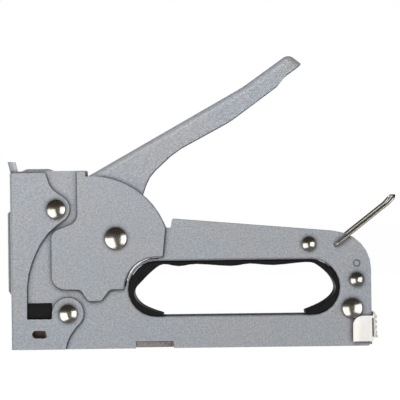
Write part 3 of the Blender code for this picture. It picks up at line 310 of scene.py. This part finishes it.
def bright_nickel(settings, name="bright_nickel", rough=0.18, bright=1.0, lines=0.0, metal=1.0,
                  shadow=0.25):
    n = Nodes(name)
    base = tuple(settings.nickel)
    stain = n.noise(240.0, 4.0, 0.6)
    haze = n.noise(1500.0, 3.0, 0.6)
    tone = n.ramp(stain, [(0.35, shade(base, 0.82 * bright)), (0.65, shade(base, 1.04 * bright))])
    # Painted shade in creases and gaps, down to the shadow factor.
    tone = n.mix(1.0, tone, n.painted_crease_shade(settings.crease, shadow), "MULTIPLY")
    n.feed(n.shader.inputs["Base Color"], tone)
    n.shader.inputs["Metallic"].default_value = metal
    n.feed(n.shader.inputs["Roughness"], n.ramp(haze, [(0.3, rough * 0.8), (0.7, rough * 1.4)]))
    if lines > 0.0:
        grind = n.noise(1.0, 2.0, 0.5, n.stretched((200.0, 200.0, 5000.0)))
        height = n.mix(lines, haze, grind)
        n.feed(n.shader.inputs["Normal"], n.bump(height, 0.000004, 0.35))
    return n.material


def oiled_steel(settings):
    n = Nodes("oiled_steel")
    base = tuple(settings.steel)
    oil = n.noise(120.0, 4.0, 0.6)
    tone = n.ramp(oil, [(0.35, shade(base, 0.65)), (0.65, shade(base, 1.15))])
    n.feed(n.shader.inputs["Base Color"], tone)
    n.shader.inputs["Metallic"].default_value = 1.0
    n.feed(n.shader.inputs["Roughness"], n.ramp(oil, [(0.3, 0.25), (0.7, 0.45)]))
    grind = n.noise(1.0, 2.0, 0.5, n.stretched((6000.0, 400.0, 400.0)))
    n.feed(n.shader.inputs["Normal"], n.bump(grind, 0.00001, 0.4))
    return n.material


def bronzed_steel(settings):
    n = Nodes("bronzed_steel")
    base = tuple(settings.bronze)
    stain = n.noise(260.0, 4.0, 0.6)
    tone = n.ramp(stain, [(0.35, shade(base, 0.6)), (0.65, shade(base, 1.3))])
    n.feed(n.shader.inputs["Base Color"], tone)
    n.shader.inputs["Metallic"].default_value = 0.85
    n.feed(n.shader.inputs["Roughness"], n.ramp(stain, [(0.3, 0.35), (0.7, 0.55)]))
    n.feed(n.shader.inputs["Normal"], n.bump(stain, 0.00002, 0.5))
    return n.material


def moulded_plastic(settings):
    n = Nodes("black_plastic")
    base = tuple(settings.black)
    grain = n.cells(1.0 / settings.grain)
    dust = n.noise(300.0, 5.0, 0.65)
    tone = n.ramp(dust, [(0.35, shade(base, 0.8)), (0.7, shade(base, 1.9))])
    n.feed(n.shader.inputs["Base Color"], tone)
    n.feed(n.shader.inputs["Roughness"], n.ramp(dust, [(0.3, 0.48), (0.7, 0.62)]))
    n.shader.inputs["Specular IOR Level"].default_value = 0.25
    n.feed(n.shader.inputs["Normal"], n.bump(grain, 0.00003, 0.6))
    return n.material


def black_rubber(settings):
    n = Nodes("black_rubber")
    base = tuple(settings.black)
    dust = n.noise(500.0, 5.0, 0.7)
    tone = n.ramp(dust, [(0.35, shade(base, 0.7)), (0.75, shade(base, 2.2))])
    n.feed(n.shader.inputs["Base Color"], tone)
    n.feed(n.shader.inputs["Roughness"], n.ramp(dust, [(0.3, 0.7), (0.7, 0.85)]))
    n.shader.inputs["Specular IOR Level"].default_value = 0.35
    n.feed(n.shader.inputs["Normal"], n.bump(dust, 0.00003, 0.5))
    return n.material


# ---------------------------------------------------------------- mesh helpers
def dress(obj, material):
    obj.data.materials.clear()
    obj.data.materials.append(material)
    for polygon in obj.data.polygons:
        polygon.material_index = 0


def flatten(obj):
    """Applies every modifier, so that obj is a plain mesh."""
    graph = bpy.context.evaluated_depsgraph_get()
    mesh = bpy.data.meshes.new_from_object(obj.evaluated_get(graph))
    obj.modifiers.clear()
    obj.data = mesh
    return obj


def merged(node):
    """A welded copy of a part's mesh, with its flat faces whole."""
    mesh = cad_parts[node].data.copy()
    work = bmesh.new()
    work.from_mesh(mesh)
    bmesh.ops.remove_doubles(work, verts=work.verts, dist=1e-6)
    bmesh.ops.dissolve_degenerate(work, edges=work.edges, dist=2e-6)
    bmesh.ops.dissolve_limit(work, angle_limit=math.radians(0.5), verts=work.verts,
                             edges=work.edges)
    work.to_mesh(mesh)
    work.free()
    return mesh


def smooth_by_angle(obj, degrees):
    """Smooth faces, with the edges past an angle kept crisp."""
    work = bmesh.new()
    work.from_mesh(obj.data)
    for face in work.faces:
        face.smooth = True
    for edge in work.edges:
        turn = edge.calc_face_angle(0.0)
        edge.smooth = len(edge.link_faces) == 2 and turn < math.radians(degrees)
    work.to_mesh(obj.data)
    work.free()


def settle(obj, name, body, slot_name, material, *nodes):
    """Makes a finished piece ride on its body, in place of its parts."""
    obj.name = name
    dress(obj, material)
    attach(obj, body)
    if nodes:
        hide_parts(*nodes)
    return obj


def link(name, mesh):
    obj = bpy.data.objects.new(name, mesh)
    bpy.context.scene.collection.objects.link(obj)
    return obj


def rounded_copy(node, name, body, slot_name, material, edge, angle=28.0, segments=2):
    """A copy of a part with its edges rounded, shown in place of the part."""
    obj = link(name, merged(node))
    bevel = obj.modifiers.new("edge", "BEVEL")
    bevel.width = edge
    bevel.segments = segments
    bevel.limit_method = "ANGLE"
    bevel.angle_limit = math.radians(angle)
    bevel.use_clamp_overlap = True
    flatten(obj)
    smooth_by_angle(obj, CRISP_DEGREES)
    weight = obj.modifiers.new("even", "WEIGHTED_NORMAL")
    weight.keep_sharp = True
    flatten(obj)
    return settle(obj, name, body, slot_name, material, node)


# ---------------------------------------------------------------- geometry node helpers
class Grower(Tree):
    """Short calls for building one Geometry Nodes tree and running it once."""

    def __init__(self, name):
        self.tree = bpy.data.node_groups.new(name, "GeometryNodeTree")
        for way in ("INPUT", "OUTPUT"):
            self.tree.interface.new_socket("Geometry", in_out=way,
                                           socket_type="NodeSocketGeometry")
        self.entry = self.tree.nodes.new("NodeGroupInput")
        self.exit = self.tree.nodes.new("NodeGroupOutput")
        self.values = {}

    def size(self, name, value):
        """A named input of the tree, and its socket inside it."""
        socket = self.tree.interface.new_socket(name, in_out="INPUT",
                                                socket_type="NodeSocketFloat")
        socket.default_value = value
        self.values[socket.identifier] = value
        return self.entry.outputs[name]

    def vector(self, x, y, z):
        return self.add("ShaderNodeCombineXYZ", X=x, Y=y, Z=z).outputs[0]

    def named(self, name, kind="FLOAT"):
        node = self.add("GeometryNodeInputNamedAttribute", Name=name)
        node.data_type = kind
        return node.outputs["Attribute"]

    def circle(self, radius, points):
        node = self.add("GeometryNodeCurvePrimitiveCircle", Resolution=points)
        self.feed(node.inputs["Radius"], radius)
        return node.outputs["Curve"]

    def tube(self, curve, radius, points, caps=True):
        node = self.tree.nodes.new("GeometryNodeCurveToMesh")
        self.feed(node.inputs["Curve"], curve)
        self.feed(node.inputs["Profile Curve"], self.circle(radius, points))
        node.inputs["Fill Caps"].default_value = caps
        return node.outputs["Mesh"]

    def smooth(self, mesh):
        node = self.tree.nodes.new("GeometryNodeSetShadeSmooth")
        self.feed(node.inputs["Geometry"], mesh)
        return node.outputs["Geometry"]

    def spread(self, instance, facing, **scale):
        """Copies at the base mesh's points, each with its Z turned to face a direction."""
        turn = self.add("FunctionNodeAlignRotationToVector", Vector=facing)
        turn.axis = "Z"
        copies = self.add("GeometryNodeInstanceOnPoints", Points=self.entry.outputs[0],
                          Instance=instance, Rotation=turn.outputs["Rotation"], **scale)
        return copies.outputs["Instances"]

    def finish(self, geometry, material):
        real = self.add("GeometryNodeRealizeInstances", Geometry=geometry)
        painted = self.add("GeometryNodeSetMaterial", Geometry=real.outputs["Geometry"])
        painted.inputs["Material"].default_value = material
        self.tree.links.new(painted.outputs["Geometry"], self.exit.inputs[0])

    def grow(self, name, base=None):
        """Runs the tree on a base mesh and gives the result as a plain mesh object."""
        obj = link(name, base or bpy.data.meshes.new(name))
        modifier = obj.modifiers.new("grow", "NODES")
        modifier.node_group = self.tree
        for identifier, value in self.values.items():
            modifier[identifier] = value
        bpy.context.view_layer.update()
        return flatten(obj)


def points_mesh(name, rows, **fields):
    """Loose points, with one value per point for each named field."""
    mesh = bpy.data.meshes.new(name)
    mesh.from_pydata([tuple(p) for p in rows], [], [])
    for field, values in fields.items():
        vectors = isinstance(values[0], tuple)
        attribute = mesh.attributes.new(field, "FLOAT_VECTOR" if vectors else "FLOAT", "POINT")
        for item, value in zip(attribute.data, values):
            if vectors:
                item.vector = value
            else:
                item.value = value
    return mesh


def path_mesh(name, rows):
    """Points joined in a row."""
    mesh = bpy.data.meshes.new(name)
    mesh.from_pydata([tuple(p) for p in rows], [(i, i + 1) for i in range(len(rows) - 1)], [])
    return mesh


def place(obj, matrix):
    obj.data.transform(matrix)
    obj.data.update()


def set_rivets(material):
    """Domed heads at both ends of every rivet, with the shanks between them."""
    heads, radius, height, facing = [], [], [], []
    shank_at, shank_size = [], []
    for node in RIVETS:
        low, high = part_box(node)
        middle = (low + high) / 2
        for side in (-1, 1):
            heads.append((middle.x, side * (high.y - RIVET_RISE), middle.z))
            radius.append((high.x - low.x) / 2)
            height.append(RIVET_RISE)
            facing.append((0.0, float(side), 0.0))
        shank_at.append((middle.x, 0.0, middle.z))
        thick = PIVOT_SHANK if node == "pivot_rivet" else RIVET_SHANK
        shank_size.append((thick, thick, (high.y - RIVET_RISE) * 2))
    g = Grower("rivet_heads")
    ball = g.add("GeometryNodeMeshUVSphere", Segments=48, Rings=24, Radius=1.0).outputs["Mesh"]
    spot = g.add("GeometryNodeInputPosition").outputs[0]
    split = g.add("ShaderNodeSeparateXYZ", Vector=spot)
    bowed = g.maths("MULTIPLY", split.outputs["Z"], split.outputs["Z"])
    crown = g.maths("ADD", g.maths("MULTIPLY", bowed, 1.0 - RIVET_RIM), RIVET_RIM)
    upper = g.maths("GREATER_THAN", split.outputs["Z"], 0.01)
    flat = g.vector(split.outputs["X"], split.outputs["Y"], g.maths("MULTIPLY", crown, upper))
    cup = g.add("GeometryNodeSetPosition", Geometry=ball, Position=flat).outputs["Geometry"]
    scale = g.vector(g.named("radius"), g.named("radius"), g.named("height"))
    g.finish(g.spread(g.smooth(cup), g.named("facing", "FLOAT_VECTOR"), Scale=scale), material)
    caps = g.grow("rivet_heads", points_mesh("rivet_heads", heads, radius=radius, height=height,
                                             facing=facing))
    s = Grower("rivet_shanks")
    rod = s.add("GeometryNodeMeshCylinder", Vertices=24, Radius=1.0, Depth=1.0).outputs["Mesh"]
    s.finish(s.spread(rod, (0.0, 1.0, 0.0), Scale=s.named("thick", "FLOAT_VECTOR")), material)
    shanks = s.grow("rivet_shanks", points_mesh("rivet_shanks", shank_at, thick=shank_size))
    settle(caps, "rivet_heads", "body", "nickel", material, *RIVETS)
    settle(shanks, "rivet_shanks", "body", "nickel", material)


def coil(name, material, length, radius, wire, turns, sides=12):
    """A helical spring along +Z from the origin."""
    g = Grower(name)
    spiral = g.add("GeometryNodeCurveSpiral", Resolution=20, Rotations=turns)
    g.feed(spiral.inputs["Start Radius"], g.size("Radius", radius))
    g.feed(spiral.inputs["End Radius"], g.entry.outputs["Radius"])
    g.feed(spiral.inputs["Height"], g.size("Length", length))
    mesh = g.tube(spiral.outputs["Curve"], g.size("Wire", wire), sides)
    g.finish(g.smooth(mesh), material)
    return g.grow(name)


def bend_bail(material):
    """The lock bail: a wire loop with both ends turned in through the shells."""
    along = Vector((math.cos(BAIL_TILT), 0.0, math.sin(BAIL_TILT)))
    lift = Vector((-along.z, 0.0, along.x))
    corner = BAIL_FOOT + Vector((0, BAIL_HALF, 0))
    side = [BAIL_FOOT + Vector((0, BAIL_INNER, 0)), corner,
            corner + along * (BAIL_REACH - BAIL_TIP),
            corner + along * BAIL_REACH + lift * BAIL_TIP_LIFT]
    rows = side + [Vector((p.x, -p.y, p.z)) for p in reversed(side)]
    g = Grower("bail_wire")
    curve = g.add("GeometryNodeMeshToCurve", Mesh=g.entry.outputs[0]).outputs["Curve"]
    fillet = g.tree.nodes.new("GeometryNodeFilletCurve")
    fillet.mode = "POLY"
    g.feed(fillet.inputs["Curve"], curve)
    g.feed(fillet.inputs["Count"], 8)
    g.feed(fillet.inputs["Radius"], g.size("Bend", BAIL_BEND))
    fillet.inputs["Limit Radius"].default_value = True
    mesh = g.tube(fillet.outputs["Curve"], g.size("Wire", BAIL_WIRE), 16)
    g.finish(g.smooth(mesh), material)
    bail = g.grow("bail_wire", path_mesh("bail_wire", rows))
    settle(bail, "bail_wire", "bail", "nickel", material, "lock_bail")


def pressed_rings(material):
    """A small round mark pressed into both sides, above the middle rear rivet."""
    x, face, z = RING_PLACE
    spots = [(x, side * face, z) for side in (-1, 1)]
    g = Grower("pressed_rings")
    ring = g.tube(g.circle(g.size("Ring radius", RING_RADIUS), 32), g.size("Lip", RING_LIP), 10,
                  False)
    g.finish(g.spread(g.smooth(ring), (0.0, 1.0, 0.0)), material)
    rings = g.grow("pressed_rings", points_mesh("pressed_rings", spots))
    settle(rings, "pressed_rings", "body", "hammered_grey_paint", material)


def ribbed_bumper(material, settings):
    """The rubber block with thin ribs across its two outer faces."""
    low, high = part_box("bumper")
    rib = settings.rib
    work = bmesh.new()
    bmesh.ops.create_cube(work, size=1.0)
    size = high - low
    size.y -= rib
    middle = (low + high) / 2
    for vert in work.verts:
        vert.co = middle + Vector(a * b for a, b in zip(vert.co, size))
    mesh = bpy.data.meshes.new("bumper_block")
    work.to_mesh(mesh)
    work.free()
    block = link("bumper_block", mesh)
    bevel = block.modifiers.new("edge", "BEVEL")
    bevel.width = BUMPER_EDGE
    bevel.segments = 3
    flatten(block)
    smooth_by_angle(block, CRISP_DEGREES)
    spots = [(middle.x, side * (high.y - rib), low.z + size.z * share)
             for share in RIB_HEIGHTS for side in (-1, 1)]
    g = Grower("bumper_ribs")
    bar = g.add("GeometryNodeMeshCylinder", Vertices=10, Radius=g.size("Rib", rib),
                Depth=size.x - RIB_SHORTER).outputs["Mesh"]
    g.finish(g.spread(g.smooth(bar), (1.0, 0.0, 0.0)), material)
    ribs = g.grow("bumper_ribs", points_mesh("bumper_ribs", spots))
    settle(block, "bumper_block", "body", "black_rubber", material, "bumper")
    settle(ribs, "bumper_ribs", "body", "black_rubber", material)


# ---------------------------------------------------------------- operators
class PaintBody(bpy.types.Operator):
    """Makes the pressed steel pieces with their hammered paint"""
    bl_idname = "staple_gun.paint_body"
    bl_label = "Paint the body"

    def execute(self, context):
        settings = context.scene.staple_gun_paint
        paint = hammered_paint(settings)
        for node in PAINTED:
            body = "lever" if node == "lever" else "body"
            rounded_copy(node, "painted_" + node, body, "hammered_grey_paint", paint,
                         settings.edge)
        # The pressed rings wear a darker copy of the paint, as painted shade in their grooves.
        pressed_rings(hammered_paint(settings, "shaded_grey_paint", 0.55))
        return {"FINISHED"}


class PlateMetal(bpy.types.Operator):
    """Gives the plated and bare steel pieces their finish"""
    bl_idname = "staple_gun.plate_metal"
    bl_label = "Plate the metal"

    def execute(self, context):
        settings = context.scene.staple_gun_metal
        nickel = bright_nickel(settings)
        zinc = bright_nickel(settings, "zinc_plate", 0.30, 0.9, 1.0)
        # Polished nickel, with its colour lifted near to white and little metal, as a painted
        # reflection of a lamp on the clip's flat wings.
        clip = bright_nickel(settings, "polished_clip_painted_reflection", 0.32, 1.5, 0.6, 0.15)
        wire = bright_nickel(settings, "bail_nickel", 0.36, 0.95, shadow=1.0)
        steel = oiled_steel(settings)
        for node in PLATED:
            dress(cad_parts[node], zinc)
        for node in OILED:
            dress(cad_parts[node], steel)
        dress(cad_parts["staple_follower"], bronzed_steel(settings))
        rounded_copy("pusher_latch", "spring_clip", "pusher", "nickel", clip, 0.00015)
        set_rivets(nickel)
        bend_bail(wire)
        return {"FINISHED"}


class WindSprings(bpy.types.Operator):
    """Winds the main spring and the pusher's long spring"""
    bl_idname = "staple_gun.wind_springs"
    bl_label = "Wind the springs"

    def execute(self, context):
        steel = bpy.data.materials["oiled_steel"]
        low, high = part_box("main_spring")
        wire = context.scene.staple_gun_metal.main_wire / 2
        main = coil("main_coil", steel, high.z - low.z - wire * 2, (high.x - low.x) / 2 - wire,
                    wire, MAIN_TURNS)
        place(main, Matrix.Translation(((low.x + high.x) / 2, 0.0, low.z + wire)))
        settle(main, "main_coil", "body", "spring_steel", steel, "main_spring")
        span = high.z - low.z
        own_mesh(main)
        low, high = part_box("pusher_spring")
        wire = context.scene.staple_gun_metal.long_wire / 2
        span = high.x - low.x
        long = coil("long_coil", steel, span - wire * 2, (high.y - low.y) / 2 - wire, wire,
                    LONG_TURNS, 6)
        turn = Matrix.Rotation(math.radians(90), 4, "Y")
        middle = (low + high) / 2
        place(long, Matrix.Translation((low.x + wire, middle.y, middle.z)) @ turn)
        settle(long, "long_coil", "pusher", "spring_steel", steel, "pusher_spring")
        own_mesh(long)
        return {"FINISHED"}


class FitGrip(bpy.types.Operator):
    """Makes the finger guard and the ribbed bumper"""
    bl_idname = "staple_gun.fit_grip"
    bl_label = "Fit the grip"

    def execute(self, context):
        settings = context.scene.staple_gun_grip
        plastic = moulded_plastic(settings)
        rounded_copy("grip_liner", "finger_guard", "body", "black_plastic", plastic,
                     settings.edge, 40.0, 3)
        ribbed_bumper(black_rubber(settings), settings)
        return {"FINISHED"}


def pale_floor():
    """A floor that is as pale as the room."""
    n = Nodes("pale_floor")
    grain = n.noise(8.0, 2.0, 0.5)
    n.feed(n.shader.inputs["Base Color"], n.ramp(grain, [(0.3, 0.03), (0.7, 0.04)]))
    n.shader.inputs["Roughness"].default_value = 0.9
    n.shader.inputs["Specular IOR Level"].default_value = 0.0
    n.shader.inputs["Emission Color"].default_value = (1, 1, 1, 1)
    n.shader.inputs["Emission Strength"].default_value = FLOOR_GLOW
    return n.material


def studio_world():
    """A white room that is dim overhead."""
    world = bpy.data.worlds.new("studio")
    world.use_nodes = True
    tree = world.node_tree
    back = tree.nodes["Background"]
    spot = tree.nodes.new("ShaderNodeTexCoord")
    split = tree.nodes.new("ShaderNodeSeparateXYZ")
    ramp = tree.nodes.new("ShaderNodeValToRGB")
    seen = tree.nodes.new("ShaderNodeLightPath")
    mix = tree.nodes.new("ShaderNodeMix")
    mix.data_type = "RGBA"
    tree.links.new(spot.outputs["Generated"], split.inputs[0])
    tree.links.new(split.outputs["Z"], ramp.inputs["Fac"])
    for element, (position, colour) in zip(ramp.color_ramp.elements, (WORLD_LOW, WORLD_HIGH)):
        element.position = position
        element.color = colour
    tree.links.new(seen.outputs["Is Camera Ray"], mix.inputs["Factor"])
    tree.links.new(ramp.outputs["Color"], mix.inputs[6])
    mix.inputs[7].default_value = (1, 1, 1, 1)
    tree.links.new(mix.outputs[2], back.inputs["Color"])
    back.inputs["Strength"].default_value = 1.0
    return world


class SetStage(bpy.types.Operator):
    """Makes the floor, the lights and the camera"""
    bl_idname = "staple_gun.set_stage"
    bl_label = "Set the stage"

    def execute(self, context):
        settings = context.scene.staple_gun_stage
        scene = context.scene
        low = CAD_BOX[0]
        mesh = bpy.data.meshes.new("floor")
        corners = [(x * FLOOR_REACH, y * FLOOR_REACH, 0)
                   for x, y in ((-1, -1), (1, -1), (1, 1), (-1, 1))]
        mesh.from_pydata(corners, [], [(0, 1, 2, 3)])
        floor = bpy.data.objects.new("floor", mesh)
        floor.location.z = low.z - FLOOR_GAP
        scene.collection.objects.link(floor)
        mesh.materials.append(pale_floor())
        for ray in ("diffuse", "glossy", "shadow"):
            setattr(floor, "visible_" + ray, False)
        scene.world = studio_world()
        scene.view_settings.view_transform = "Standard"
        for name, spot, size, power in LAMPS:
            light = bpy.data.lights.new(name, "AREA")
            light.size = size
            light.energy = power
            lamp = bpy.data.objects.new(name, light)
            lamp.location = spot
            lamp.rotation_mode = "QUATERNION"
            aim = TOOL_MIDDLE - Vector(spot)
            lamp.rotation_quaternion = aim.to_track_quat("-Z", "Y")
            lamp.visible_glossy = name != "upper_box"
            scene.collection.objects.link(lamp)
        lens = bpy.data.cameras.new("camera")
        lens.lens = settings.focal
        lens.sensor_width = 36.0
        lens.clip_start = 0.01
        lens.clip_end = 20.0
        camera = bpy.data.objects.new("camera", lens)
        camera.location = (TOOL_MIDDLE.x, low.y - settings.distance, TOOL_MIDDLE.z)
        camera.rotation_euler = (math.radians(90), settings.roll, 0)
        scene.collection.objects.link(camera)
        scene.camera = camera
        return {"FINISHED"}


class StapleGunPanel(bpy.types.Panel):
    """Lists the steps that finish the staple gun"""
    bl_idname = "VIEW3D_PT_staple_gun"
    bl_label = "Staple Gun"
    bl_space_type = "VIEW_3D"
    bl_region_type = "UI"
    bl_category = "Staple Gun"

    def draw(self, context):
        for step in STEPS:
            self.layout.operator(step.bl_idname)


SETTINGS = (("paint", PaintSettings), ("metal", MetalSettings), ("grip", GripSettings),
            ("stage", StageSettings))
STEPS = (PaintBody, PlateMetal, WindSprings, FitGrip, SetStage)


def register():
    for name, group in SETTINGS:
        bpy.utils.register_class(group)
        setattr(bpy.types.Scene, "staple_gun_" + name, bpy.props.PointerProperty(type=group))
    for step in STEPS + (StapleGunPanel,):
        bpy.utils.register_class(step)


def unregister():
    for step in (StapleGunPanel,) + STEPS[::-1]:
        bpy.utils.unregister_class(step)
    for name, group in SETTINGS[::-1]:
        delattr(bpy.types.Scene, "staple_gun_" + name)
        bpy.utils.unregister_class(group)


def main():
    register()
    bpy.ops.staple_gun.paint_body()
    bpy.ops.staple_gun.plate_metal()
    bpy.ops.staple_gun.wind_springs()
    bpy.ops.staple_gun.fit_grip()
    bpy.ops.staple_gun.set_stage()
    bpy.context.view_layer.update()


if __name__ == "__main__":
    main()
